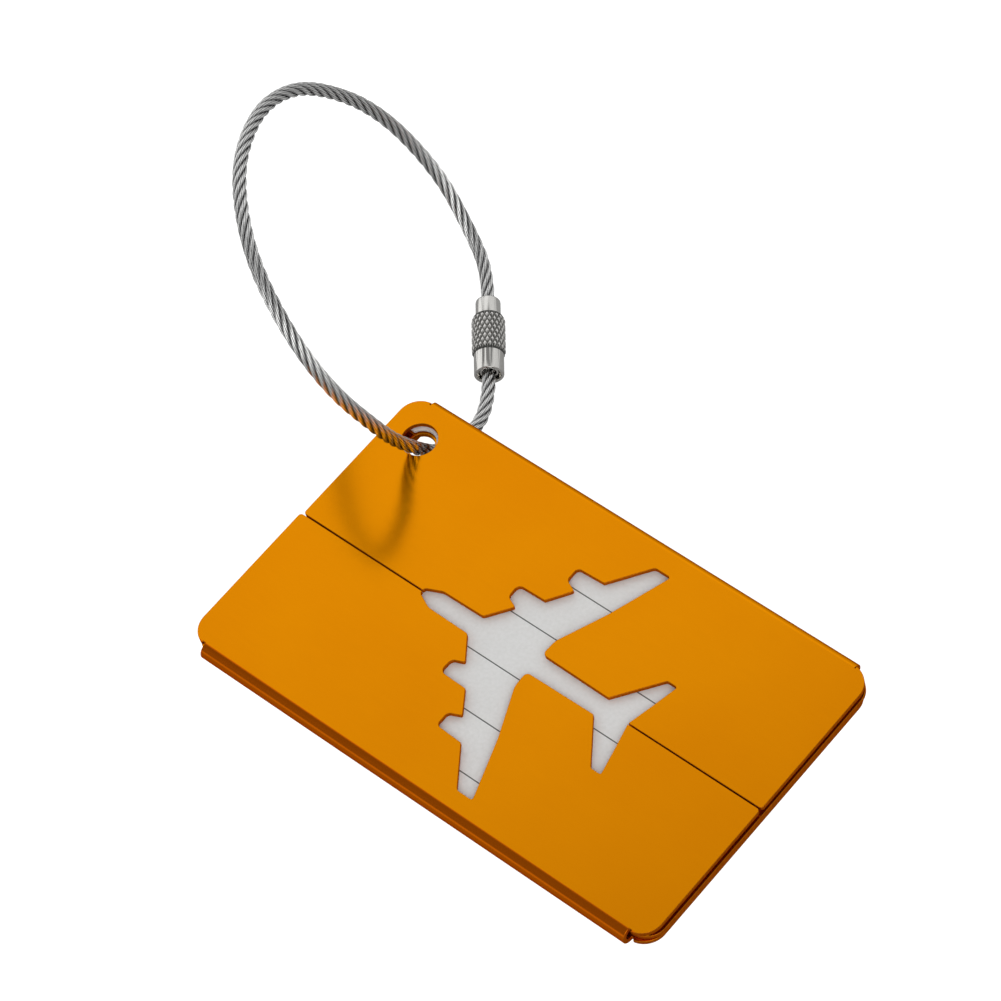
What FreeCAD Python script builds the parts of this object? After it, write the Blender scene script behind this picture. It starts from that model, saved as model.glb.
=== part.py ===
"""Luggage tag: two folded aluminium shells with a name card between them, and a
wire-rope loop with a screw barrel through the hole in one corner.

Frame: the origin is the centre of the cable hole on the front face.  +X runs along
the long edge away from the hole, +Y to the long edge nearest the hole, and +Z out of
the front face.  Millimetres.
"""
import FreeCAD, Part
import math
import os

V = FreeCAD.Vector

# Driving dimensions of the tag
TAG_LENGTH = 80.0
TAG_WIDTH = 49.0
TAG_THICKNESS = 3.0
SHEET = 0.7                  # aluminium sheet
CORNER_RADIUS = 3.3
SEAM_GAP = 0.2               # between the two front halves
SEAM_CORNER_RADIUS = 0.5
UPPER_ENDS = (-39.93, 40.28)         # short edges along X, from the middle of the tag
LOWER_ENDS = (-40.3, 40.22)
FOLD_INSET = 3.05            # from a short edge to the end of the fold
UPPER_RELIEF = 0.1           # notch between the fold's end and the plate's corner
LOWER_RELIEF = 0.45
CORNER_REACH = 0.35          # the plates' corners run this far past the bend line
HOLE_RADIUS = 2.6
BACK_HOLE_RADIUS = 1.9       # in both back plates
HOLE_TO_SHORT_EDGE = 5.6
HOLE_TO_LONG_EDGE = 6.3

# The upper shell's back plate lies inside the lower shell's
POCKET = 0.8                 # clear height for the card
PLATE_GAP = 0.1              # between the two back plates
UPPER_FOLD_RADIUS = POCKET / 2 + SHEET
LOWER_FOLD_RADIUS = TAG_THICKNESS / 2
UPPER_BACK_Z = -POCKET - SHEET           # inner face of the upper shell's back plate
LOWER_BACK_Z = UPPER_BACK_Z - SHEET - PLATE_GAP
UPPER_BACK_REACH = 22.8      # how far each back plate runs past the middle
LOWER_BACK_REACH = 23.0
BACK_CORNER_RADIUS = 3.0

# Name card
CARD_LENGTH = 78.0
CARD_WIDTH = 45.0
CARD_THICKNESS = 0.4
CARD_NOTCH_RADIUS = 2.25     # notch round the cable
CARD_SLOT_WIDTH = 3.0        # the notch opens toward -X through this slot
CARD_SLOT_DROP = 0.5         # the slot's middle lies this far below the hole's
CARD_CORNER_RADIUS = 1.0

# Clasp: its axis lies level behind the tag, and its stations count from the face
# where the knurled barrel meets the stud ferrule
CLASP_JOINT = V(-13.0, 26.44, -12.9)
CLASP_AXIS = V(0.66, -0.7513, 0.0).normalize()
COLLAR_LENGTH = 2.95
COLLAR_RADIUS = 1.8
COLLAR_EDGE = 0.35
STUD_LENGTH = 3.0
STUD_RADIUS = 1.6
THREAD_CLEARANCE = 0.05
KNURL_LENGTH = 6.55
KNURL_RADIUS = 2.425
KNURL_CHAMFER = 0.35
BARREL_LENGTH = 9.85
SKIRT_RADIUS = 2.15
SKIRT_MOUTH_RADIUS = 1.72
LIP_START = 7.45             # the lip that pulls on the stop ferrule's head
LIP_END = 8.25
STOP_HEAD_START = 3.65
STOP_MOUTH = 9.45
STOP_HEAD_RADIUS = 1.6
STOP_NECK_RADIUS = 1.4
STOP_BORE_DEPTH = 4.4

# Wire rope
CABLE_RADIUS = 1.0
BEND_SHARE = 0.45            # share of the shorter run that each bend takes up
CABLE_LEAD_IN = 5.4          # straight runs at the ferrules
CABLE_LEAD_OUT = 7.3
CABLE_END = 8.45             # station where the cable ends inside the stop ferrule
LOOP_POINTS = [
    (-24.2, 36.0, -11.3), (-31.2, 38.6, -4.5), (-37.3, 36.0, 8.6),
    (-39.2, 28.1, 21.0), (-37.8, 20.6, 27.8), (-34.5, 13.1, 31.7),
    (-28.7, 4.7, 33.7), (-18.9, -3.7, 32.9), (-9.0, -8.3, 27.8),
    (-3.0, -8.7, 19.7), (0.2, -5.8, 9.8), (0.0, -3.7, 4.3),
    (0.65, -1.1, -0.4), (0.3, 1.9, -5.3), (-0.7, 7.2, -10.4),
]

# Half outline of the aircraft window, from nose to tail, measured from the middle of
# the tag: (along X, out from the seam, corner radius)
AIRCRAFT = [
    (-18.0, 0.45, 0.4), (-15.6, 1.5, 2.0),                      # nose
    (-8.6, 1.6, 0.5), (-5.9, 5.2, 0.25),                        # wing root
    (-7.7, 5.9, 0.8), (-7.8, 8.1, 0.8), (-3.3, 8.2, 0.25),      # inner engine
    (-0.9, 11.6, 0.25),
    (-2.8, 12.4, 0.7), (-2.8, 14.6, 0.6), (1.6, 14.8, 0.25),    # outer engine
    (5.8, 20.5, 0.8), (8.5, 20.5, 0.3),                         # wing tip
    (5.2, 11.4, 6.0), (1.95, 4.2, 3.0), (1.85, 1.65, 0.7),      # trailing edge
    (13.35, 1.5, 0.25),                                         # tail root
    (18.2, 7.9, 0.5), (19.9, 7.9, 0.25), (18.9, 3.6, 2.0),      # tailplane
]
NOSE_X = -18.0
TAIL_X = 18.0

MIDDLE = V(TAG_LENGTH / 2 - HOLE_TO_SHORT_EDGE, HOLE_TO_LONG_EDGE - TAG_WIDTH / 2, 0)
HOLE_X = -MIDDLE.x           # the hole, measured from the middle of the tag
HOLE_Y = -MIDDLE.y


def rounded_edges(corners):
    """Edges of a closed outline of (x, y, radius) corners, each rounded by an arc."""
    edges = []
    count = len(corners)
    ends = []
    for i, (x, y, radius) in enumerate(corners):
        here = V(x, y, 0)
        before = V(*corners[i - 1][:2], 0) - here
        after = V(*corners[(i + 1) % count][:2], 0) - here
        if radius == 0:
            ends.append((here, here))
            continue
        half_angle = before.getAngle(after) / 2
        before.normalize()
        after.normalize()
        reach = radius / math.tan(half_angle)
        inward = (before + after).normalize()
        middle = here + inward * (radius / math.sin(half_angle) - radius)
        start = here + before * reach
        end = here + after * reach
        edges.append(Part.Arc(start, middle, end).toShape())
        ends.append((start, end))
    for i in range(count):
        start = ends[i - 1][1]
        end = ends[i][0]
        if start.distanceToPoint(end) > 1e-6:
            edges.append(Part.LineSegment(start, end).toShape())
    return edges


def slab(corners, bottom, top):
    """A flat plate of the rounded outline between two heights."""
    wire = Part.Wire(Part.__sortEdges__(rounded_edges(corners)))
    plate = Part.Face(wire).extrude(V(0, 0, top - bottom))
    plate.translate(V(0, 0, bottom))
    return plate


def cylinder(radius, x, y, bottom, top):
    return Part.makeCylinder(radius, top - bottom, V(x, y, bottom))


def fold(radius, bend_y, side, ends):
    """Half ring along X that joins a front plate to its back plate."""
    left = ends[0] + FOLD_INSET
    length = ends[1] - FOLD_INSET - left
    start = V(left, bend_y, -radius)
    ring = Part.makeCylinder(radius, length, start, V(1, 0, 0))
    ring = ring.cut(Part.makeCylinder(radius - SHEET, length, start, V(1, 0, 0)))
    low_y = bend_y if side > 0 else bend_y - radius
    return ring.common(Part.makeBox(length, radius, 2 * radius, V(left, low_y, -2 * radius)))


def plate(ends, far_y, far_radius, bend_y, side, relief, bottom):
    """Flat half of a shell, with corners that run past the bend beside the fold."""
    corner_y = bend_y + side * CORNER_REACH
    flat = slab([(ends[0], far_y, far_radius), (ends[1], far_y, far_radius),
                 (ends[1], corner_y, CORNER_RADIUS), (ends[0], corner_y, CORNER_RADIUS)],
                bottom, bottom + SHEET)
    left = ends[0] + FOLD_INSET - relief
    length = ends[1] - FOLD_INSET + relief - left
    low_y = bend_y if side > 0 else corner_y
    return flat.cut(Part.makeBox(length, CORNER_REACH, SHEET, V(left, low_y, bottom)))


def aircraft_cutter(side):
    """Prism of half the aircraft, standing a little over the seam."""
    over = -0.5 * side
    corners = [(NOSE_X, over, 0)]
    corners += [(x, y * side, radius) for x, y, radius in AIRCRAFT]
    corners += [(TAIL_X, 0, 0), (TAIL_X, over, 0)]
    return slab(corners, -SHEET - 0.1, 0.1)


def shell(side, fold_radius, ends, relief, back_z, reach):
    """One folded sheet: a front half, the fold on its long edge, and a back plate."""
    bend = side * (TAG_WIDTH / 2 - fold_radius)
    front = plate(ends, side * SEAM_GAP / 2, SEAM_CORNER_RADIUS, bend, side, relief, -SHEET)
    back = plate(ends, -side * reach, BACK_CORNER_RADIUS, bend, side, relief, back_z - SHEET)
    joined = front.fuse([fold(fold_radius, bend, side, ends), back])
    return joined.cut(aircraft_cutter(side))


def upper_shell():
    body = shell(1, UPPER_FOLD_RADIUS, UPPER_ENDS, UPPER_RELIEF, UPPER_BACK_Z, UPPER_BACK_REACH)
    front_hole = cylinder(HOLE_RADIUS, HOLE_X, HOLE_Y, -SHEET - 0.1, 1)
    back_hole = cylinder(BACK_HOLE_RADIUS, HOLE_X, HOLE_Y, -TAG_THICKNESS, -SHEET - 0.1)
    return body.cut(front_hole).cut(back_hole).removeSplitter()


def lower_shell():
    body = shell(-1, LOWER_FOLD_RADIUS, LOWER_ENDS, LOWER_RELIEF, LOWER_BACK_Z, LOWER_BACK_REACH)
    bottom = -TAG_THICKNESS - 1
    top = LOWER_BACK_Z + 0.1
    slot = cylinder(BACK_HOLE_RADIUS, HOLE_X, HOLE_Y, bottom, top)
    slot = slot.fuse(Part.makeBox(2 * BACK_HOLE_RADIUS, HOLE_TO_LONG_EDGE, top - bottom,
                                  V(HOLE_X - BACK_HOLE_RADIUS, HOLE_Y, bottom)))
    return body.cut(slot).removeSplitter()


def name_card():
    half_x = CARD_LENGTH / 2
    half_y = CARD_WIDTH / 2
    radius = CARD_CORNER_RADIUS
    bottom = -SHEET - POCKET / 2 - CARD_THICKNESS / 2
    top = bottom + CARD_THICKNESS
    card = slab([(-half_x, -half_y, radius), (half_x, -half_y, radius),
                 (half_x, half_y, radius), (-half_x, half_y, radius)], bottom, top)
    notch = cylinder(CARD_NOTCH_RADIUS, HOLE_X, HOLE_Y, bottom - 1, top + 1)
    slot_y = HOLE_Y - CARD_SLOT_DROP - CARD_SLOT_WIDTH / 2
    notch = notch.fuse(Part.makeBox(HOLE_TO_SHORT_EDGE, CARD_SLOT_WIDTH, 3,
                                    V(HOLE_X - HOLE_TO_SHORT_EDGE, slot_y, bottom - 1)))
    return card.cut(notch).removeSplitter()


def clasp_point(station):
    return CLASP_JOINT + CLASP_AXIS * station


def turned(profile):
    """Solid of revolution about the clasp's axis from (radius, station) points."""
    corners = [V(radius, 0, station) for radius, station in profile]
    outline = Part.Face(Part.makePolygon(corners + corners[:1]))
    solid = outline.revolve(V(0, 0, 0), V(0, 0, 1), 360)
    turn = FreeCAD.Rotation(V(0, 0, 1), CLASP_AXIS)
    solid.Placement = FreeCAD.Placement(CLASP_JOINT, turn)
    return solid


def stud_ferrule():
    """Collar pressed on one cable end, with the threaded stud made plain."""
    edge = COLLAR_EDGE
    return turned([(0, -COLLAR_LENGTH), (COLLAR_RADIUS - edge, -COLLAR_LENGTH),
                   (COLLAR_RADIUS, edge - COLLAR_LENGTH), (COLLAR_RADIUS, 0),
                   (STUD_RADIUS, 0), (STUD_RADIUS, STUD_LENGTH - edge),
                   (STUD_RADIUS - edge, STUD_LENGTH), (0, STUD_LENGTH)])


def stop_ferrule():
    """Ferrule on the other cable end; its head stops against the barrel's lip."""
    bore = CABLE_RADIUS + THREAD_CLEARANCE
    bore_end = STOP_MOUTH - STOP_BORE_DEPTH
    head_end = LIP_START - THREAD_CLEARANCE
    return turned([(0, STOP_HEAD_START), (STOP_HEAD_RADIUS, STOP_HEAD_START),
                   (STOP_HEAD_RADIUS, head_end), (STOP_NECK_RADIUS, head_end),
                   (STOP_NECK_RADIUS, STOP_MOUTH), (bore, STOP_MOUTH),
                   (bore, bore_end), (0, bore_end)])


def knurled_barrel():
    """Nut that turns on the stop ferrule and screws over the stud."""
    bore = STUD_RADIUS + THREAD_CLEARANCE
    lip = STOP_NECK_RADIUS + THREAD_CLEARANCE
    chamfer = KNURL_CHAMFER
    top = THREAD_CLEARANCE
    return turned([(bore, top), (KNURL_RADIUS - chamfer, top), (KNURL_RADIUS, chamfer),
                   (KNURL_RADIUS, KNURL_LENGTH - chamfer),
                   (KNURL_RADIUS - chamfer, KNURL_LENGTH), (SKIRT_RADIUS, KNURL_LENGTH),
                   (SKIRT_RADIUS, BARREL_LENGTH), (SKIRT_MOUTH_RADIUS, BARREL_LENGTH),
                   (SKIRT_MOUTH_RADIUS, LIP_END), (lip, LIP_END), (lip, LIP_START),
                   (bore, LIP_START)])


def cable_route():
    """From the stud ferrule over the loop, through the hole, to the stop ferrule."""
    lead_in = [clasp_point(-COLLAR_LENGTH), clasp_point(-COLLAR_LENGTH - CABLE_LEAD_IN)]
    lead_out = [clasp_point(CABLE_END + CABLE_LEAD_OUT), clasp_point(CABLE_END)]
    return lead_in + [V(*point) for point in LOOP_POINTS] + lead_out


def wire_cable():
    """Tube of straight runs joined by tangent arcs; prints each bend's radius."""
    route = cable_route()
    edges = []
    radii = []
    last = route[0]
    for before, here, after in zip(route, route[1:], route[2:]):
        back = before - here
        on = after - here
        reach = BEND_SHARE * min(back.Length, on.Length)
        half_angle = back.getAngle(on) / 2
        radius = reach * math.tan(half_angle)
        radii.append(radius)
        back.normalize()
        on.normalize()
        start = here + back * reach
        end = here + on * reach
        middle = here + (back + on).normalize() * (radius / math.sin(half_angle) - radius)
        edges.append(Part.LineSegment(last, start).toShape())
        edges.append(Part.Arc(start, middle, end).toShape())
        last = end
    edges.append(Part.LineSegment(last, route[-1]).toShape())
    path = Part.Wire(edges)
    section = Part.Circle(route[0], route[1] - route[0], CABLE_RADIUS).toShape()
    tube = path.makePipeShell([Part.Wire(section)], True, False)
    expected = math.pi * CABLE_RADIUS ** 2 * path.Length
    print("wire_cable bend radii:", [round(radius, 1) for radius in radii])
    print("wire_cable length %.1f, volume %.2f, section x length %.2f"
          % (path.Length, tube.Volume, expected))
    return tube


def from_middle(shape):
    shape.translate(MIDDLE)
    return shape


PARTS = {
    "upper_shell": lambda: from_middle(upper_shell()),
    "lower_shell": lambda: from_middle(lower_shell()),
    "name_card": lambda: from_middle(name_card()),
    "wire_cable": wire_cable,
    "stud_ferrule": stud_ferrule,
    "stop_ferrule": stop_ferrule,
    "knurled_barrel": knurled_barrel,
}

os.makedirs("parts", exist_ok=True)
for name, make in PARTS.items():
    shape = make()
    shape.exportStep("parts/%s.step" % name)
    box = shape.BoundBox
    print("%-15s valid %s, solids %d, volume %.2f, x %.2f..%.2f y %.2f..%.2f z %.2f..%.2f"
          % (name, shape.isValid(), len(shape.Solids), shape.Volume, box.XMin, box.XMax,
             box.YMin, box.YMax, box.ZMin, box.ZMax))
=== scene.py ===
import math

import bmesh
import bpy
import numpy as np
from mathutils import Matrix, Vector

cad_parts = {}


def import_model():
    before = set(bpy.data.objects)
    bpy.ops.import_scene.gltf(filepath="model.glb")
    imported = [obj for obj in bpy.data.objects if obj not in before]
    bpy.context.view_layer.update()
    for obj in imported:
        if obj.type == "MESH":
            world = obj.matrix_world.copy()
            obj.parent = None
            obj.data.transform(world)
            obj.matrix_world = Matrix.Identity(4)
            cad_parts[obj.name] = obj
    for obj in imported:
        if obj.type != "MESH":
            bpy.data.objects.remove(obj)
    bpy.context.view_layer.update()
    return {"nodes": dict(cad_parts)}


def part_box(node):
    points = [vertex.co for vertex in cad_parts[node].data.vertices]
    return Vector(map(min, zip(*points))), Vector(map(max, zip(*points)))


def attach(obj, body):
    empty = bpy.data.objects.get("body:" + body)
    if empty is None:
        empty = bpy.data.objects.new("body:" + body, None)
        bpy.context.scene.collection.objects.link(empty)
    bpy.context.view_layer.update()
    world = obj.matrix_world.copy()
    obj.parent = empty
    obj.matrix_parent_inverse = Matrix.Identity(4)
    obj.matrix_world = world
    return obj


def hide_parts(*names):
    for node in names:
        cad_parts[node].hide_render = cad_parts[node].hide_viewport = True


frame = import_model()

MM = 0.001
UPPER_LOW, UPPER_HIGH = (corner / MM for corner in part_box("upper_shell"))
LOWER_LOW, LOWER_HIGH = (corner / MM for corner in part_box("lower_shell"))

# The sleeve
SHEET = 0.7
EDGE_ROUND = 0.07              # rounding of the sheet's sheared edges
EDGE_ROUND_STEPS = 2
CORNER_RADIUS = 3.3
CORNER_STEPS = 24
CORNER_REACH = 0.35            # the plates' corners run this far past the bend line
FOLD_INSET = 3.05              # from a short edge to the end of the fold
UPPER_RELIEF = 0.1             # notch between the fold's end and the plate's corner
LOWER_RELIEF = 0.45
SEAM_GAP = 0.2
SEAM_CORNER_RADIUS = 0.5
HOLE_RADIUS = 2.6
BACK_HOLE_RADIUS = 1.9         # in both back plates
HOLE_SIDES = 96
SLOT_STEPS = 36                # round the closed end of the lower shell's slot
SLOT_CORNER_RADIUS = 0.3       # at the slot's mouth
BACK_CORNER_RADIUS = 3.0
UPPER_FOLD_RADIUS = (UPPER_HIGH.z - UPPER_LOW.z) / 2
LOWER_FOLD_RADIUS = (LOWER_HIGH.z - LOWER_LOW.z) / 2
FOLD_STEPS = 24
EDGE_SLOPE = 0.8               # steeper faces are the sheet's sheared edge
FLAT_SLOPE = 0.999             # more level faces are the sheet's flat sides
WELD = 1e-3                    # points of the flat sheet this close become one
CUT_SLACK = 1e-5
END_SLACK = 1e-4
HOLE_TO_MIDDLE = 34.4          # along X, from the cable hole to the middle of the tag
MIDDLE = Vector((HOLE_TO_MIDDLE, (UPPER_HIGH.y + LOWER_LOW.y) / 2, 0))
HALF_WIDTH = (UPPER_HIGH.y - LOWER_LOW.y) / 2
HOLE_X = -MIDDLE.x
HOLE_Y = -MIDDLE.y

# Half outline of the aircraft window: (along X, out from the seam, corner radius)
NOSE_X = -18.0
TAIL_X = 18.0 + 0.02           # where the tail's edge crosses the side of the seam
AIRCRAFT = [
    (-18.0, 0.45, 0.4), (-15.6, 1.5, 2.0),                      # nose
    (-8.6, 1.6, 0.5), (-5.9, 5.2, 0.25),                        # wing root
    (-7.7, 5.9, 0.8), (-7.8, 8.1, 0.8), (-3.3, 8.2, 0.25),      # inner engine
    (-0.9, 11.6, 0.25),
    (-2.8, 12.4, 0.7), (-2.8, 14.6, 0.6), (1.6, 14.8, 0.25),    # outer engine
    (5.8, 20.5, 0.8), (8.5, 20.5, 0.3),                         # wing tip
    (5.2, 11.4, 6.0), (1.95, 4.2, 3.0), (1.85, 1.65, 0.7),      # trailing edge
    (13.35, 1.5, 0.25),                                         # tail root
    (18.2, 7.9, 0.5), (19.9, 7.9, 0.25), (18.9, 3.6, 2.0),      # tailplane
]

# Ruled lines of the card: first line and pitch, measured from the middle of the tag
LINE_FIRST = -17.8
LINE_PITCH = 7.5
LINE_WIDTH = 0.17
LINE_BLUR = 0.25               # softness of a line's sides, as a share of its half width
LINES_END = -3.0               # no lines above this Y
LINE_INK = (0.09, 0.09, 0.09, 1)

# The clasp: stations run along its axis from the face where barrel and collar meet
CLASP_JOINT = Vector((-13.0, 26.44, -12.9))
CLASP_AXIS = Vector((0.66, -0.7513, 0.0)).normalized()
COLLAR_LENGTH = 2.95
COLLAR_RADIUS = 1.8
STUD_LENGTH = 3.0
STUD_RADIUS = 1.6
STUD_CHAMFER = 0.2
STUD_STEPS = 54
THREAD_START = 0.3
THREAD_RUNOUT = 0.1            # the thread stops this far before the stud's end
THREAD_PITCH = 0.5
THREAD_DEPTH = 0.2
CLEARANCE = 0.05
KNURL_LENGTH = 6.55
KNURL_RADIUS = 2.425
KNURL_DEPTH = 0.2
KNURL_COUNT = 20               # grooves of each hand round the barrel
KNURL_PERIOD = 1.44            # along the axis, between grooves of one hand
KNURL_SHARPNESS = 1.6          # larger values widen the flat crowns
KNURL_FADE = 0.15              # the grooves run out over this much of the shoulders
SKIRT_MARGIN = 0.02            # no grooves on surfaces this close to the skirt's radius
KNURL_SIDES = 240
KNURL_STEPS = 84
SHOULDER_LENGTH = 0.6          # of the barrel's rounded ends
SHOULDER_POWER = 1.6
BARREL_LENGTH = 9.85
SKIRT_RADIUS = 2.15
SKIRT_MOUTH_RADIUS = 1.72
LIP_START = 7.45
LIP_END = 8.25
STOP_HEAD_START = 3.65
STOP_MOUTH = 9.45
STOP_HEAD_RADIUS = 1.6
STOP_NECK_RADIUS = 1.4
STOP_BORE_END = 5.05
TURNED_SIDES = 96
TURNED_WELD = 1e-5
ROUNDING_STEPS = 5

# The wire rope: six strands of six wires round a core
ROPE_RADIUS = 1.0
STRAND_COUNT = 6
WIRE_COUNT = 6
STRAND_LAY = 12.5
WIRE_LAY = 6.0
CORE_SIDES = 8
WIRE_SIDES = 6
LINE_RESOLUTION = 32           # points of the smooth line per control point
ROPE_STEP = 0.3                # between cross-sections along the rope
PATH_STRIDE = 4                # every so many of them becomes a point of the cord's path
GROOVE = 0.62                  # share of the rope's radius inside which the wires are painted darkest, as shade in the grooves
CABLE_LEAD_IN = 5.4
CABLE_LEAD_OUT = 7.3
CABLE_END = 8.45
LOOP_POINTS = [
    (-24.2, 36.0, -11.3), (-31.2, 38.6, -4.5), (-37.3, 36.0, 8.6),
    (-39.2, 28.1, 21.0), (-37.8, 20.6, 27.8), (-34.5, 13.1, 31.7),
    (-28.7, 4.7, 33.7), (-18.9, -3.7, 32.9), (-9.0, -8.3, 27.8),
    (-3.0, -8.7, 19.7), (0.2, -5.8, 9.8), (0.0, -3.7, 4.3),
    (0.65, -1.1, -0.4), (0.3, 1.9, -5.3), (-0.7, 7.2, -10.4),
]

# Camera, fitted to the tag's edges
CAMERA_PLACE = Vector((296.92, -197.39, 497.34))
CAMERA_RIGHT = Vector((0.74988, 0.63888, -0.17180))
CAMERA_DOWN = Vector((0.47028, -0.69741, -0.54079))
CAMERA_FORWARD = Vector((-0.46532, 0.32473, -0.82342))
CAMERA_LENS = 160.83
SENSOR = 36.0
CAMERA_NEAR = 0.01             # metres


def link(name, data):
    """New object of that name in the scene, holding the given mesh, curve or camera."""
    obj = bpy.data.objects.new(name, data)
    bpy.context.scene.collection.objects.link(obj)
    return obj


# ---------------------------------------------------------------- materials

MATERIALS = {}                  # filled in at the build, by the part that wears them
GRAZING_TINT = (0.90, 0.42, 0.05, 1)    # keeps the dyed sheet orange at shallow angles
CROWN = "crown"                 # 0 in a relief's grooves, 1 on its ridges; the wire's and the knurl's colours paint shade into the grooves from it


def new_material(name):
    """A material, its nodes and links, and its Principled shader."""
    material = bpy.data.materials.new(name)
    material.use_nodes = True
    nodes = material.node_tree.nodes
    return material, nodes, material.node_tree.links, nodes["Principled BSDF"]


def noise(nodes, links, scale, detail, stretch=(1, 1, 1)):
    """Noise in the object's own coordinates; scale is in cells per millimetre."""
    place = nodes.new("ShaderNodeTexCoord")
    mapping = nodes.new("ShaderNodeMapping")
    mapping.inputs["Scale"].default_value = stretch
    texture = nodes.new("ShaderNodeTexNoise")
    texture.inputs["Scale"].default_value = scale / MM
    texture.inputs["Detail"].default_value = detail
    links.new(place.outputs["Object"], mapping.inputs["Vector"])
    links.new(mapping.outputs["Vector"], texture.inputs["Vector"])
    return texture.outputs["Fac"]


def ramp(nodes, links, value, low, high, colours):
    """Colours spread over the stretch of a value from low to high."""
    node = nodes.new("ShaderNodeValToRGB")
    elements = node.color_ramp.elements
    while len(elements) < len(colours):
        elements.new(0.5)
    for i, colour in enumerate(colours):
        elements[i].position = low + (high - low) * i / (len(colours) - 1)
        elements[i].color = (*colour, 1)
    links.new(value, node.inputs["Fac"])
    return node.outputs["Color"]


def spread(nodes, links, value, low, high, start=0.0, end=1.0, shape="LINEAR"):
    """A value that runs from low to high while the given one runs from start to end."""
    node = nodes.new("ShaderNodeMapRange")
    node.interpolation_type = shape
    node.inputs["From Min"].default_value = start
    node.inputs["From Max"].default_value = end
    node.inputs["To Min"].default_value = low
    node.inputs["To Max"].default_value = high
    links.new(value, node.inputs["Value"])
    return node.outputs["Result"]


def bump(nodes, links, shader, value, depth):
    """Very shallow relief; depth is in millimetres."""
    node = nodes.new("ShaderNodeBump")
    node.inputs["Strength"].default_value = 1.0
    node.inputs["Distance"].default_value = depth * MM
    links.new(value, node.inputs["Height"])
    links.new(node.outputs["Normal"], shader.inputs["Normal"])


def maths(nodes, links, operation, first, second):
    """Result of one operation on a socket and a second socket or number."""
    node = nodes.new("ShaderNodeMath")
    node.operation = operation
    links.new(first, node.inputs[0])
    if isinstance(second, bpy.types.NodeSocket):
        links.new(second, node.inputs[1])
    else:
        node.inputs[1].default_value = second
    return node.outputs["Value"]


def metal(nodes, links, shader, colour, texture, smoothest, roughest, depth):
    """Metal of the given colour; one texture drives both its roughness and its relief."""
    links.new(colour, shader.inputs["Base Color"])
    links.new(spread(nodes, links, texture, smoothest, roughest), shader.inputs["Roughness"])
    shader.inputs["Metallic"].default_value = 1.0
    bump(nodes, links, shader, texture, depth)


def anodised_sheet(name, dark, light):
    """Orange dyed anodising on rolled sheet: glossy, with a faint grain along X."""
    material, nodes, links, shader = new_material(name)
    cloud = noise(nodes, links, scale=0.03, detail=3.0)
    colour = ramp(nodes, links, cloud, low=0.35, high=0.65, colours=[dark, light])
    grain = noise(nodes, links, scale=6.0, detail=3.0, stretch=(0.04, 1.0, 1.0))
    metal(nodes, links, shader, colour, grain, smoothest=0.15, roughest=0.22, depth=0.0004)
    shader.inputs["Specular Tint"].default_value = GRAZING_TINT
    return material


def anodised_edge():
    """Sheared edge of the sheet: a darker orange than the faces, and rougher metal."""
    material, nodes, links, shader = new_material("anodised_edge")
    streaks = noise(nodes, links, scale=5.0, detail=4.0, stretch=(1.0, 1.0, 0.15))
    colour = ramp(nodes, links, streaks, low=0.3, high=0.7,
                  colours=[(0.42, 0.105, 0.006), (0.62, 0.155, 0.009)])
    metal(nodes, links, shader, colour, streaks, smoothest=0.35, roughest=0.55, depth=0.01)
    shader.inputs["Specular Tint"].default_value = GRAZING_TINT
    return material


def polished_nickel():
    """Plated clasp parts, glossy and very slightly uneven."""
    material, nodes, links, shader = new_material("polished_nickel")
    mottle = noise(nodes, links, scale=4.0, detail=3.0)
    colour = ramp(nodes, links, mottle, low=0.3, high=0.7,
                  colours=[(0.62, 0.61, 0.585), (0.68, 0.67, 0.645)])
    metal(nodes, links, shader, colour, mottle, smoothest=0.10, roughest=0.18, depth=0.0006)
    return material


def crown_and(nodes, links, value, share):
    """The relief's height from 0 to 1, made uneven by a share of another value."""
    crown = nodes.new("ShaderNodeAttribute")
    crown.attribute_name = CROWN
    return maths(nodes, links, "ADD", crown.outputs["Fac"],
                 spread(nodes, links, value, -share, share))


def mark_crowns(mesh, heights):
    """Stores each point's height in the relief, from 0 to 1, for crown_and()."""
    mesh.attributes.new(CROWN, "FLOAT", "POINT").data.foreach_set(
        "value", np.clip(heights, 0, 1).astype(np.float32))


def stainless_wire():
    """Drawn stainless wire, with painted shade in the strands' grooves and a painted highlight
    on their crowns.
    """
    material, nodes, links, shader = new_material("stainless_wire")
    patches = noise(nodes, links, scale=2.5, detail=4.0)
    height = crown_and(nodes, links, patches, share=0.25)
    # painted shade in the grooves, rising to a painted highlight on the crowns
    colour = ramp(nodes, links, height, low=0.0, high=1.0,
                  colours=[(0.09, 0.092, 0.095), (0.36, 0.36, 0.36), (0.86, 0.86, 0.85)])
    metal(nodes, links, shader, colour, patches, smoothest=0.14, roughest=0.24, depth=0.004)
    return material


def knurled_nickel():
    """Plated knurl, duller than the turned surfaces, with painted shade in the grooves between
    the diamonds and lighter crowns.
    """
    material, nodes, links, shader = new_material("knurled_nickel")
    knurl_unevenness = noise(nodes, links, scale=3.0, detail=4.0)
    height = crown_and(nodes, links, knurl_unevenness, share=0.12)
    # painted shade in the grooves between the diamonds, lighter on their crowns
    colour = ramp(nodes, links, height, low=0.0, high=1.0,
                  colours=[(0.07, 0.07, 0.067), (0.30, 0.295, 0.28), (0.72, 0.71, 0.69)])
    metal(nodes, links, shader, colour, knurl_unevenness, smoothest=0.12, roughest=0.22, depth=0.0008)
    return material


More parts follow.
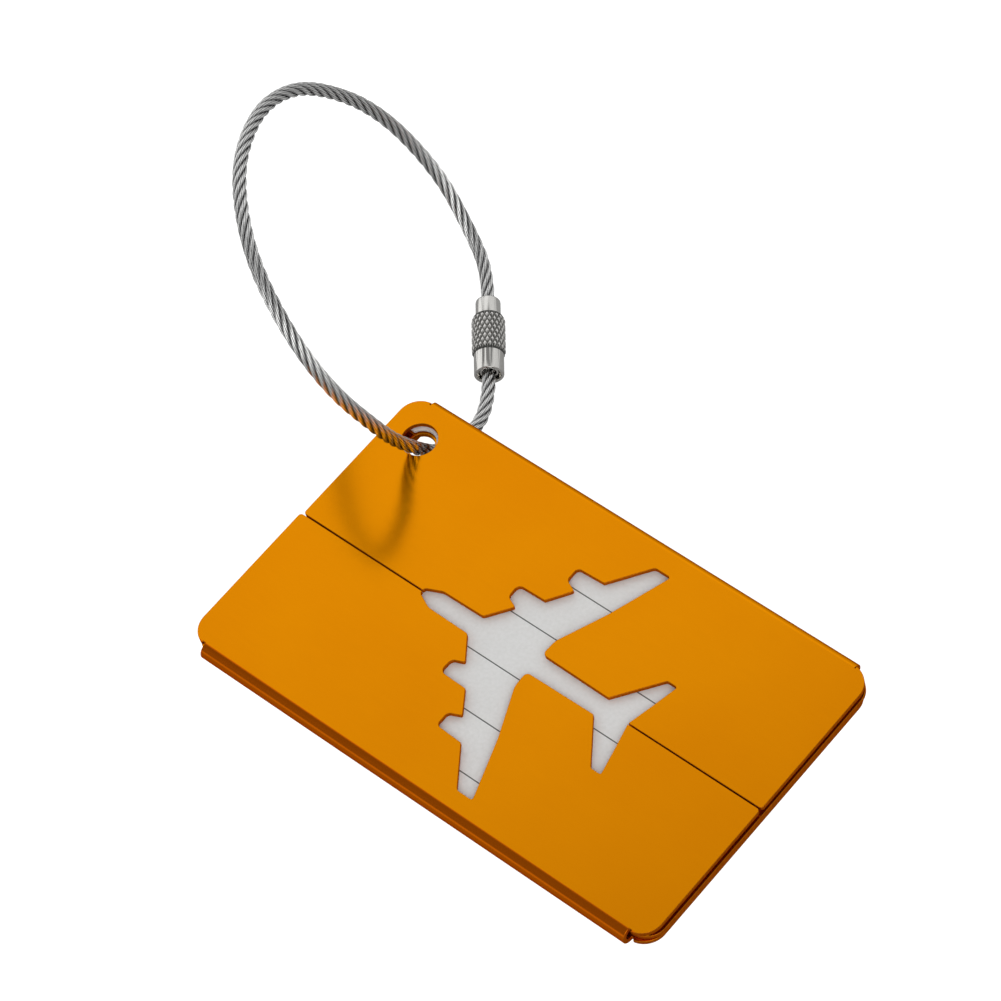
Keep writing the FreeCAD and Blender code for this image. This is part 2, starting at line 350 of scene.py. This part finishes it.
def ruled_card():
    """Matt white card with grey ruled lines along X."""
    material, nodes, links, shader = new_material("ruled_card")
    place = nodes.new("ShaderNodeTexCoord")
    split = nodes.new("ShaderNodeSeparateXYZ")
    links.new(place.outputs["Object"], split.inputs["Vector"])
    off_line = split.outputs["Y"]
    first = (MIDDLE.y + LINE_FIRST) * MM
    for operation, number in (("SUBTRACT", first), ("DIVIDE", LINE_PITCH * MM),
                              ("ADD", 0.5), ("FRACT", 0), ("SUBTRACT", 0.5), ("ABSOLUTE", 0)):
        off_line = maths(nodes, links, operation, off_line, number)
    half = LINE_WIDTH / LINE_PITCH / 2
    inked = spread(nodes, links, off_line, 1.0, 0.0, half * (1 - LINE_BLUR),
                   half * (1 + LINE_BLUR))
    ruled = maths(nodes, links, "LESS_THAN", split.outputs["Y"], LINES_END * MM)
    fibre = noise(nodes, links, scale=2.0, detail=5.0)
    paper = ramp(nodes, links, fibre, low=0.3, high=0.7,
                 colours=[(0.78, 0.78, 0.765), (0.84, 0.84, 0.83)])
    mix = nodes.new("ShaderNodeMixRGB")
    mix.inputs["Color2"].default_value = LINE_INK
    links.new(maths(nodes, links, "MULTIPLY", inked, ruled), mix.inputs["Fac"])
    links.new(paper, mix.inputs["Color1"])
    links.new(mix.outputs["Color"], shader.inputs["Base Color"])
    shader.inputs["Roughness"].default_value = 0.75
    bump(nodes, links, shader, fibre, depth=0.006)
    return material


# ---------------------------------------------------------------- the folded sheets

def rounded(corners):
    """Points of a closed outline of (x, v, radius) corners, with arcs at the corners."""
    points = []
    for i, (x, v, radius) in enumerate(corners):
        here = Vector((x, v))
        if radius == 0:
            points.append(here)
            continue
        before = (Vector(corners[i - 1][:2]) - here).normalized()
        after = (Vector(corners[(i + 1) % len(corners)][:2]) - here).normalized()
        half = before.angle(after) / 2
        centre = here + (before + after).normalized() * (radius / math.sin(half))
        start = here + before * (radius / math.tan(half)) - centre
        turn = math.pi - 2 * half
        if before.x * after.y - before.y * after.x > 0:
            turn = -turn
        steps_per_radian = max(6, 8 * math.sqrt(radius))
        steps = max(3, math.ceil(abs(turn) * steps_per_radian))
        for k in range(steps + 1):
            spin = Matrix.Rotation(turn * k / steps, 2)
            points.append(centre + spin @ start)
    distinct = []
    for point in points:
        if not distinct or (point - distinct[-1]).length > END_SLACK:
            distinct.append(point)
    return distinct


def circle(x, v, radius):
    """Outline of a round hole."""
    return [Vector((x + radius * math.cos(k * math.tau / HOLE_SIDES),
                    v + radius * math.sin(k * math.tau / HOLE_SIDES)))
            for k in range(HOLE_SIDES)]


def filled_sheet(outlines):
    """Mesh of the flat sheet with its edges rounded; z is 0 at the outer face."""
    data = bpy.data.curves.new("pattern", "CURVE")
    data.dimensions = "2D"
    data.fill_mode = "BOTH"
    data.extrude = SHEET / 2 - EDGE_ROUND
    data.bevel_depth = EDGE_ROUND
    data.bevel_resolution = EDGE_ROUND_STEPS
    data.offset = -EDGE_ROUND
    for outline in outlines:
        spline = data.splines.new("POLY")
        spline.points.add(len(outline) - 1)
        for point, spot in zip(spline.points, outline):
            point.co = (spot.x, spot.y, 0, 1)
        spline.use_cyclic_u = True
    obj = link("pattern", data)
    bpy.context.view_layer.update()
    mesh = bpy.data.meshes.new_from_object(obj.evaluated_get(
        bpy.context.evaluated_depsgraph_get()))
    bpy.data.objects.remove(obj)
    return mesh


def cut_for_fold(mesh, bend, length):
    """Cuts the flat sheet into strips across the fold, and sorts its faces by material."""
    bm = bmesh.new()
    bm.from_mesh(mesh)
    bmesh.ops.remove_doubles(bm, verts=bm.verts, dist=WELD)
    for k in range(FOLD_STEPS + 1):
        geometry = bm.verts[:] + bm.edges[:] + bm.faces[:]
        bmesh.ops.bisect_plane(bm, geom=geometry, dist=CUT_SLACK, plane_no=(0, 1, 0),
                               plane_co=(0, bend + length * k / FOLD_STEPS, 0))
    bmesh.ops.recalc_face_normals(bm, faces=bm.faces)
    bm.normal_update()
    for face in bm.faces:
        face.smooth = abs(face.normal.z) < FLAT_SLOPE
        v = face.calc_center_median().y
        if abs(face.normal.z) < EDGE_SLOPE:
            face.material_index = 1
        # faces on the outside of the fold take the third material, which on the lower sheet is
        # painted shade
        elif face.normal.z > 0 and bend < v < bend + length:
            face.material_index = 2
    bm.to_mesh(mesh)
    bm.free()


def bent_place(spot, ends, bend, radius):
    """Where a point of the flat sheet goes across the tag, and the angle it turns by."""
    x, v, height = spot
    depth = SHEET / 2 - height
    reach = radius - depth
    neutral = radius - SHEET / 2
    length = math.pi * neutral
    folded = ends[0] + FOLD_INSET - END_SLACK < x < ends[1] - FOLD_INSET + END_SLACK
    if v <= bend or (not folded and v < bend + length / 2):
        return v, -depth, 0.0
    if folded and v < bend + length:
        angle = (v - bend) / neutral
        return bend + reach * math.sin(angle), -radius + reach * math.cos(angle), angle
    return 2 * bend + length - v, -radius - reach, math.pi


def fold_sheet(name, side, outlines, ends, bend, radius):
    """Bends the flat sheet round its fold.  v runs from the seam, over the fold.

    The normals are taken from the flat sheet and turned with it, so that the plates
    shade flat and the fold shades round.
    """
    mesh = filled_sheet(outlines)
    mesh.materials.clear()
    # the lower sheet's fold wears the bend material, a redder and darker copy of the face's
    # orange painted as shade
    for part in ("face", "edge", "bend" if side < 0 else "face"):
        mesh.materials.append(MATERIALS[part])
    cut_for_fold(mesh, bend, math.pi * (radius - SHEET / 2))
    flat = {(face.index, mesh.loops[k].vertex_index): mesh.corner_normals[k].vector.copy()
            for face in mesh.polygons for k in face.loop_indices}
    turns = []
    for vert in mesh.vertices:
        y, z, angle = bent_place(vert.co, ends, bend, radius)
        turns.append((math.cos(angle), math.sin(angle)))
        vert.co = (Vector((vert.co.x, side * y, z)) + MIDDLE) * MM
    if side < 0:
        mesh.flip_normals()
    bent = [None] * len(mesh.loops)
    for face in mesh.polygons:
        for k in face.loop_indices:
            corner = mesh.loops[k].vertex_index
            nx, nv, nh = flat[face.index, corner]
            cosine, sine = turns[corner]
            bent[k] = (nx, side * (nv * cosine + nh * sine), nh * cosine - nv * sine)
    mesh.polygons.foreach_set("use_smooth", [True] * len(mesh.polygons))
    mesh.normals_split_custom_set(bent)
    return link(name, mesh)


def weigh_normals(obj):
    """Keeps flat faces flat in shading while their rounded edges stay smooth."""
    modifier = obj.modifiers.new("weighted", "WEIGHTED_NORMAL")
    modifier.weight = 100
    modifier.keep_sharp = True
    bpy.context.view_layer.update()
    graph = bpy.context.evaluated_depsgraph_get()
    mesh = bpy.data.meshes.new_from_object(obj.evaluated_get(graph))
    obj.modifiers.clear()
    obj.data = mesh


def plate_corner(short_edge, ear, turn_x, turn_v, relief):
    """Arc of a plate's corner, from the short edge to the notch beside the fold."""
    last = math.acos(1 - (FOLD_INSET - relief) / CORNER_RADIUS)
    points = []
    for k in range(CORNER_STEPS + 1):
        angle = last * k / CORNER_STEPS
        points.append((short_edge - turn_x * CORNER_RADIUS * (1 - math.cos(angle)),
                       ear - turn_v * CORNER_RADIUS * (1 - math.sin(angle)), 0))
    return points


def pattern(ends, bend, radius, relief, back_reach, slot_depth=None):
    """Outline points of one flat pattern, with the cable slot if it has one.

    The front plate ends at the bend line and the back plate starts at the line called
    over; the two ears are the plates' corners, which run a little past those lines.
    """
    left, right = ends
    seam = SEAM_GAP / 2
    over = bend + math.pi * (radius - SHEET / 2)
    end = over + bend + back_reach
    ear = bend + CORNER_REACH
    back_ear = over - CORNER_REACH
    corners = [(left, seam, SEAM_CORNER_RADIUS), (NOSE_X, seam, 0)] + AIRCRAFT
    corners += [(TAIL_X, seam, 0), (right, seam, SEAM_CORNER_RADIUS)]
    corners += plate_corner(right, ear, 1, 1, relief)
    corners += [(corners[-1][0], bend, 0), (right - FOLD_INSET, bend, 0),
                (right - FOLD_INSET, over, 0), (corners[-1][0], over, 0)]
    corners += plate_corner(right, back_ear, 1, -1, relief)[::-1]
    corners += [(right, end, BACK_CORNER_RADIUS)]
    if slot_depth is not None:
        foot = end - slot_depth
        corners += [(HOLE_X + BACK_HOLE_RADIUS, end, SLOT_CORNER_RADIUS)]
        corners += [(HOLE_X + BACK_HOLE_RADIUS * math.cos(k * math.pi / SLOT_STEPS),
                     foot - BACK_HOLE_RADIUS * math.sin(k * math.pi / SLOT_STEPS), 0)
                    for k in range(SLOT_STEPS + 1)]
        corners += [(HOLE_X - BACK_HOLE_RADIUS, end, 0)]
    corners += [(left, end, BACK_CORNER_RADIUS)]
    corners += plate_corner(left, back_ear, -1, -1, relief)
    corners += [(corners[-1][0], over, 0), (left + FOLD_INSET, over, 0),
                (left + FOLD_INSET, bend, 0), (corners[-1][0], bend, 0)]
    corners += plate_corner(left, ear, -1, 1, relief)[::-1]
    return rounded(corners)


def shells():
    """The two sheets, cut and folded."""
    ends = (UPPER_LOW.x - MIDDLE.x, UPPER_HIGH.x - MIDDLE.x)
    bend = HALF_WIDTH - UPPER_FOLD_RADIUS
    over = bend + math.pi * (UPPER_FOLD_RADIUS - SHEET / 2)
    outlines = [pattern(ends, bend, UPPER_FOLD_RADIUS, UPPER_RELIEF, MIDDLE.y - UPPER_LOW.y),
                circle(HOLE_X, HOLE_Y, HOLE_RADIUS),
                circle(HOLE_X, over + bend - HOLE_Y, BACK_HOLE_RADIUS)]
    upper = fold_sheet("upper_sheet", 1, outlines, ends, bend, UPPER_FOLD_RADIUS)
    ends = (LOWER_LOW.x - MIDDLE.x, LOWER_HIGH.x - MIDDLE.x)
    bend = HALF_WIDTH - LOWER_FOLD_RADIUS
    reach = LOWER_HIGH.y - MIDDLE.y
    outlines = [pattern(ends, bend, LOWER_FOLD_RADIUS, LOWER_RELIEF, reach, reach - HOLE_Y)]
    lower = fold_sheet("lower_sheet", -1, outlines, ends, bend, LOWER_FOLD_RADIUS)
    for piece, node, body in ((upper, "upper_shell", "tag"),
                              (lower, "lower_shell", "lower_shell")):
        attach(piece, body)
        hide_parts(node)


# ---------------------------------------------------------------- the clasp

def clasp_point(station):
    """Point of the clasp's axis at a station."""
    return CLASP_JOINT + CLASP_AXIS * station


def clasp_place(spot):
    """Station along the clasp's axis and distance from it, for a point in metres."""
    away = spot / MM - CLASP_JOINT
    station = away.dot(CLASP_AXIS)
    return station, (away - CLASP_AXIS * station).length


def clasp_matrix():
    """Local Z along the clasp's axis, origin at its joint, in metres."""
    turn = Vector((0, 0, 1)).rotation_difference(CLASP_AXIS).to_matrix().to_4x4()
    return Matrix.Translation(CLASP_JOINT * MM) @ turn @ Matrix.Scale(MM, 4)


def turned(name, profile, material, relief=None, sides=TURNED_SIDES):
    """Closed surface of revolution from (radius, station) points.

    relief(angle, station, radius) is how deep the surface is cut at a point.
    """
    verts = []
    for radius, station in profile:
        for k in range(sides):
            angle = k * math.tau / sides
            r = radius - (relief(angle, station, radius) if relief else 0)
            verts.append((r * math.cos(angle), r * math.sin(angle), station))
    faces = []
    rows = len(profile)
    starts_on_axis = profile[0][0] == 0
    for i in range(rows - 1 if starts_on_axis else rows):
        for k in range(sides):
            j = (k + 1) % sides
            n = (i + 1) % rows
            faces.append((i * sides + k, i * sides + j, n * sides + j, n * sides + k))
    mesh = bpy.data.meshes.new(name)
    mesh.from_pydata(verts, [], faces)
    bm = bmesh.new()
    bm.from_mesh(mesh)
    bmesh.ops.remove_doubles(bm, verts=bm.verts, dist=TURNED_WELD)
    bmesh.ops.recalc_face_normals(bm, faces=bm.faces)
    for face in bm.faces:
        face.smooth = True
    bm.to_mesh(mesh)
    bm.free()
    mesh.transform(clasp_matrix())
    mesh.materials.append(material)
    obj = link(name, mesh)
    weigh_normals(obj)
    return obj


def softened(corners):
    """Profile points with each (radius, station, rounding) corner made an arc."""
    points = []
    for i, (r, s, rounding) in enumerate(corners):
        here = Vector((r, s))
        if rounding == 0:
            points.append((r, s))
            continue
        before = (Vector(corners[i - 1][:2]) - here).normalized()
        after = (Vector(corners[(i + 1) % len(corners)][:2]) - here).normalized()
        start = here + before * rounding
        end = here + after * rounding
        for k in range(ROUNDING_STEPS + 1):
            t = k / ROUNDING_STEPS
            spot = start * (1 - t) ** 2 + here * 2 * t * (1 - t) + end * t ** 2
            points.append((spot.x, spot.y))
    return points


def collar():
    """Collar on the rope's first end, with the threaded stud."""
    def thread(angle, station, radius):
        if not THREAD_START < station < STUD_LENGTH - THREAD_RUNOUT or radius < STUD_RADIUS:
            return 0
        turn = station / THREAD_PITCH - angle / math.tau
        return THREAD_DEPTH * abs(2 * (turn - math.floor(turn)) - 1)    # V-shaped groove

    profile = softened([(0, -COLLAR_LENGTH, 0), (COLLAR_RADIUS, -COLLAR_LENGTH, 0.4),
                        (COLLAR_RADIUS, 0, 0.06), (STUD_RADIUS, 0, 0)])
    profile += [(STUD_RADIUS, STUD_LENGTH * k / STUD_STEPS) for k in range(1, STUD_STEPS)]
    profile += [(STUD_RADIUS - STUD_CHAMFER, STUD_LENGTH), (0, STUD_LENGTH)]
    return turned("stud_collar", profile, MATERIALS["nickel"], thread)


def stop():
    """Sleeve on the rope's other end, with the head that the barrel pulls on."""
    head_end = LIP_START - CLEARANCE
    bore = ROPE_RADIUS + CLEARANCE
    corners = [(0, STOP_HEAD_START, 0), (STOP_HEAD_RADIUS, STOP_HEAD_START, 0.2),
               (STOP_HEAD_RADIUS, head_end, 0.05), (STOP_NECK_RADIUS, head_end, 0),
               (STOP_NECK_RADIUS, STOP_MOUTH, 0.3), (bore, STOP_MOUTH, 0.04),
               (bore, STOP_BORE_END, 0), (0, STOP_BORE_END, 0)]
    return turned("stop_sleeve", softened(corners), MATERIALS["nickel"])


def barrel():
    """Knurled nut with a smooth skirt; its lip holds the stop sleeve's head."""
    def knurl(angle, station, radius):
        if not CLEARANCE < station < KNURL_LENGTH or radius < SKIRT_RADIUS + SKIRT_MARGIN:
            return 0
        turn = angle / math.tau * KNURL_COUNT
        climb = station / KNURL_PERIOD
        height = 1.0
        for place in (turn + climb, turn - climb):
            height = min(height, 1 - abs(2 * (place - math.floor(place)) - 1))
        fade = min(1.0, (radius - SKIRT_RADIUS) / KNURL_FADE)
        return KNURL_DEPTH * fade * (1 - min(1.0, height * KNURL_SHARPNESS))

    bore = STUD_RADIUS + CLEARANCE
    lip = STOP_NECK_RADIUS + CLEARANCE
    side = []
    for k in range(KNURL_STEPS + 1):
        station = CLEARANCE + (KNURL_LENGTH - CLEARANCE) * k / KNURL_STEPS
        near_end = min(station - CLEARANCE, KNURL_LENGTH - station)
        drop = max(0.0, 1 - near_end / SHOULDER_LENGTH) ** SHOULDER_POWER
        side.append((KNURL_RADIUS - (KNURL_RADIUS - SKIRT_RADIUS) * drop, station))
    top = softened([(bore, CLEARANCE, 0.05), (side[0][0], CLEARANCE, 0)])
    skirt = softened([side[-1] + (0,), (SKIRT_RADIUS, KNURL_LENGTH, 0),
                      (SKIRT_RADIUS, BARREL_LENGTH, 0.12),
                      (SKIRT_MOUTH_RADIUS, BARREL_LENGTH, 0.06),
                      (SKIRT_MOUTH_RADIUS, LIP_END, 0.04), (lip, LIP_END, 0.04),
                      (lip, LIP_START, 0.04), (bore, LIP_START, 0)])
    nut = turned("barrel_nut", top + side[1:] + skirt[1:], MATERIALS["nickel"], knurl,
                 KNURL_SIDES)
    nut.data.materials.append(MATERIALS["knurl"])
    for face in nut.data.polygons:
        station, radius = clasp_place(face.center)
        if CLEARANCE < station < KNURL_LENGTH and radius > bore + CLEARANCE:
            face.material_index = 1
    # height in the knurl, from which its colour paints shade into the grooves
    radii = np.array([clasp_place(vert.co)[1] for vert in nut.data.vertices])
    mark_crowns(nut.data, 1 - (KNURL_RADIUS - radii) / KNURL_DEPTH)
    return nut


# ---------------------------------------------------------------- the wire rope

def rope_route():
    """Control points of the rope's line, from the collar round to the stop sleeve."""
    lead_in = [clasp_point(-COLLAR_LENGTH), clasp_point(-COLLAR_LENGTH - CABLE_LEAD_IN)]
    lead_out = [clasp_point(CABLE_END + CABLE_LEAD_OUT), clasp_point(CABLE_END)]
    return lead_in + [Vector(point) for point in LOOP_POINTS] + lead_out


def centreline(points):
    """Points in metres along the smooth line that the route's points control."""
    data = bpy.data.curves.new("cable_line", "CURVE")
    data.dimensions = "3D"
    spline = data.splines.new("NURBS")
    spline.points.add(len(points) - 1)
    for point, spot in zip(spline.points, points):
        point.co = (*(spot * MM), 1)
    spline.order_u = 3
    spline.use_endpoint_u = True
    spline.resolution_u = LINE_RESOLUTION
    obj = link("cable_line", data)
    bpy.context.view_layer.update()
    mesh = bpy.data.meshes.new_from_object(obj)
    line = np.array([vert.co[:] for vert in mesh.vertices])
    bpy.data.objects.remove(obj)
    return line


def evenly(line, step):
    """The same line with its points a fixed step apart, and how far along each one is."""
    gone = np.r_[0, np.cumsum(np.linalg.norm(np.diff(line, axis=0), axis=1))]
    count = max(2, round(gone[-1] / step)) + 1
    at = np.linspace(0, gone[-1], count)
    return np.stack([np.interp(at, gone, line[:, k]) for k in range(3)], axis=1), at


def carried_frames(line):
    """Two directions across the line that never twist about it."""
    tangents = np.gradient(line, axis=0)
    tangents /= np.linalg.norm(tangents, axis=1)[:, None]
    across = np.zeros_like(line)
    start = np.cross(tangents[0], (0, 0, 1.0))
    across[0] = start / np.linalg.norm(start)
    for i in range(1, len(line)):
        carried = across[i - 1] - tangents[i] * (across[i - 1] @ tangents[i])
        across[i] = carried / np.linalg.norm(carried)
    return across, np.cross(tangents, across)


def turned_by(u, v, angle):
    """Directions that stand at the given angles between u and v."""
    return u * np.cos(angle)[:, None] + v * np.sin(angle)[:, None]


def tube(line, outward, radius, sides):
    """Rings and faces of a closed thin tube; outward is a direction off the line."""
    tangent = np.gradient(line, axis=0)
    tangent /= np.linalg.norm(tangent, axis=1)[:, None]
    u = outward - tangent * (outward * tangent).sum(1)[:, None]
    u /= np.linalg.norm(u, axis=1)[:, None]
    v = np.cross(tangent, u)
    rings = np.stack([line + radius * (u * math.cos(a) + v * math.sin(a))
                      for a in np.arange(sides) * math.tau / sides], axis=1)
    count = len(line)
    i = np.arange(count - 1)[:, None] * sides
    k = np.arange(sides)[None, :]
    j = (k + 1) % sides
    quads = np.stack([i + k, i + j, i + sides + j, i + sides + k], axis=2).reshape(-1, 4)
    caps = [list(range(sides))[::-1], [(count - 1) * sides + s for s in range(sides)]]
    return rings.reshape(-1, 3), quads.tolist() + caps


def core_and_wires(line, gone):
    """Points and faces of the core and of every wire in the six strands."""
    u, v = carried_frames(line)
    strand_radius = 2 * ROPE_RADIUS / 3 * MM
    wire_radius = ROPE_RADIUS / 9 * MM
    pieces = [tube(line, u, ROPE_RADIUS / 3 * MM, CORE_SIDES)]
    for strand in range(STRAND_COUNT):
        angle = math.tau * (gone / (STRAND_LAY * MM) + strand / STRAND_COUNT)
        out = turned_by(u, v, angle)
        strand_line = line + out * strand_radius
        along = np.gradient(strand_line, axis=0)
        along /= np.linalg.norm(along, axis=1)[:, None]
        side = np.cross(along, out)
        for wire in range(WIRE_COUNT):
            turn = math.tau * (wire / WIRE_COUNT - gone / (WIRE_LAY * MM))
            spoke = turned_by(out, side, turn)
            pieces.append(tube(strand_line + spoke * 2 * wire_radius, spoke, wire_radius,
                               WIRE_SIDES))
    return pieces


def rope():
    """The laid rope as one object, with its line's points and its length in metres."""
    line, gone = evenly(centreline(rope_route()), ROPE_STEP * MM)
    verts, faces, crowns, total = [], [], [], 0
    for points, quads in core_and_wires(line, gone):
        verts.append(points)
        middles = np.repeat(line, len(points) // len(line), axis=0)
        # height in the rope, from which the wire's colour paints shade and highlight
        off = np.linalg.norm(points - middles, axis=1) / (ROPE_RADIUS * MM)
        crowns.append((off - GROOVE) / (1 - GROOVE))
        faces += [[index + total for index in quad] for quad in quads]
        total += len(points)
    mesh = bpy.data.meshes.new("wire_rope")
    mesh.from_pydata(np.concatenate(verts).tolist(), [], faces)
    mesh.polygons.foreach_set("use_smooth", [True] * len(mesh.polygons))
    mark_crowns(mesh, np.concatenate(crowns))
    mesh.materials.append(MATERIALS["wire"])
    return link("wire_rope", mesh), line[::PATH_STRIDE], gone[-1]


def loop_and_clasp():
    """The rope and the three clasp parts, each on the body that carries it."""
    cord, path, length = rope()
    pieces = {"stud_ferrule": (collar(), "cable_loop"), "stop_ferrule": (stop(), "stop_ferrule"),
              "knurled_barrel": (barrel(), "barrel")}
    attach(cord, "cable_loop")
    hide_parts("wire_cable")
    for node, (piece, body) in pieces.items():
        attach(piece, body)
        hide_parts(node)


# ---------------------------------------------------------------- studio

def camera():
    """The picture's camera, with the place, turn and lens given above."""
    data = bpy.data.cameras.new("camera")
    data.lens = CAMERA_LENS
    data.sensor_width = SENSOR
    data.clip_start = CAMERA_NEAR
    obj = link("camera", data)
    turn = Matrix((CAMERA_RIGHT, -CAMERA_DOWN, -CAMERA_FORWARD)).transposed().to_4x4()
    obj.matrix_world = Matrix.Translation(CAMERA_PLACE * MM) @ turn
    bpy.context.scene.camera = obj


FLOOR_SHINE = 0.92              # the table's glow as the camera sees it
FLOOR_BOUNCE = 0.1              # and as the tag reflects it
TABLE_HALF_SIZE = 2.5           # metres
TABLE_GAP = 0.1                 # below the barrel


def floor():
    """Level pale table just below the barrel, the lowest piece in every pose."""
    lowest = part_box("knurled_barrel")[0].z
    size = TABLE_HALF_SIZE
    mesh = bpy.data.meshes.new("table")
    mesh.from_pydata([(-size, -size, 0), (size, -size, 0), (size, size, 0), (-size, size, 0)],
                     [], [(0, 1, 2, 3)])
    obj = link("table", mesh)
    obj.location = (0, 0, lowest - TABLE_GAP * MM)
    material, nodes, links, shader = new_material("table")
    grain = noise(nodes, links, scale=0.2, detail=2.0)
    grey = ramp(nodes, links, grain, low=0.3, high=0.7,
                colours=[(0.40, 0.40, 0.40), (0.42, 0.42, 0.42)])
    links.new(grey, shader.inputs["Base Color"])
    shader.inputs["Roughness"].default_value = 0.8
    shader.inputs["Specular IOR Level"].default_value = 0.0
    shader.inputs["Emission Color"].default_value = (1, 1, 1, 1)
    path = nodes.new("ShaderNodeLightPath")
    shine = spread(nodes, links, path.outputs["Is Camera Ray"], FLOOR_BOUNCE, FLOOR_SHINE)
    links.new(shine, shader.inputs["Emission Strength"])
    mesh.materials.append(material)


# Soft boxes of the studio: direction, inner and outer half angle in degrees, brightness
SOFT_BOXES = [
    ((-0.64, 0.46, 0.62), 17, 33, 1.4),
    ((-0.90, -0.35, 0.30), 20, 34, 1.5),
    ((0.10, -0.75, 0.66), 10, 24, 1.2),
    ((0.80, 0.10, 0.60), 12, 26, 1.0),
    ((0.62, -0.42, 0.66), 16, 30, 3.0),
    ((0.42, 0.74, 0.52), 18, 32, 1.0),
    ((-0.12, 0.84, 0.50), 16, 32, 1.1),
]
HORIZON_GLOW = 0.9
HORIZON_TOP = 0.34              # height on the unit sphere where the glow begins
HORIZON_FULL = 0.2              # and below which it is full
AMBIENT = 0.35                  # everywhere above the glow
BACKDROP = 1.0                  # as the camera sees it


def brightest_box(nodes, links, direction):
    """Brightness of the soft box that fills a direction, if one does."""
    total = None
    for toward, inner, outer, brightness in SOFT_BOXES:
        dot = nodes.new("ShaderNodeVectorMath")
        dot.operation = "DOT_PRODUCT"
        dot.inputs[1].default_value = Vector(toward).normalized()
        links.new(direction, dot.inputs[0])
        box = spread(nodes, links, dot.outputs["Value"], 0.0, brightness,
                     math.cos(math.radians(outer)), math.cos(math.radians(inner)),
                     "SMOOTHSTEP")
        total = box if total is None else maths(nodes, links, "MAXIMUM", total, box)
    return total


def world():
    """Dark studio with soft boxes; the backdrop that the camera sees is plain and pale."""
    studio = bpy.data.worlds.new("studio")
    bpy.context.scene.world = studio
    studio.use_nodes = True
    nodes, links = studio.node_tree.nodes, studio.node_tree.links
    nodes.clear()
    place = nodes.new("ShaderNodeTexCoord")
    boxes = brightest_box(nodes, links, place.outputs["Generated"])
    split = nodes.new("ShaderNodeSeparateXYZ")
    links.new(place.outputs["Generated"], split.inputs["Vector"])
    glow = spread(nodes, links, split.outputs["Z"], AMBIENT, HORIZON_GLOW, HORIZON_TOP,
                  HORIZON_FULL, "SMOOTHSTEP")
    light = maths(nodes, links, "MAXIMUM", boxes, glow)
    path = nodes.new("ShaderNodeLightPath")
    seen = nodes.new("ShaderNodeMix")
    sockets = {socket.identifier: socket for socket in seen.inputs}
    links.new(path.outputs["Is Camera Ray"], sockets["Factor_Float"])
    links.new(light, sockets["A_Float"])
    sockets["B_Float"].default_value = BACKDROP
    back = nodes.new("ShaderNodeBackground")
    links.new(seen.outputs["Result"], back.inputs["Strength"])
    output = nodes.new("ShaderNodeOutputWorld")
    links.new(back.outputs["Background"], output.inputs["Surface"])


# ---------------------------------------------------------------- build

# bend is the face's orange made redder and darker: painted shade on the lower sheet's fold
MATERIALS.update(
    face=anodised_sheet("anodised_face", (0.70, 0.226, 0.001), (0.73, 0.247, 0.001)),
    bend=anodised_sheet("anodised_bend_painted_shade", (0.68, 0.135, 0.002), (0.72, 0.150, 0.002)),
    edge=anodised_edge(), nickel=polished_nickel(), wire=stainless_wire(), card=ruled_card(),
    knurl=knurled_nickel())
camera()
loop_and_clasp()
shells()
card = frame["nodes"]["name_card"]
card.data.materials.clear()
card.data.materials.append(MATERIALS["card"])
floor()
world()
bpy.context.scene.view_settings.view_transform = "Standard"
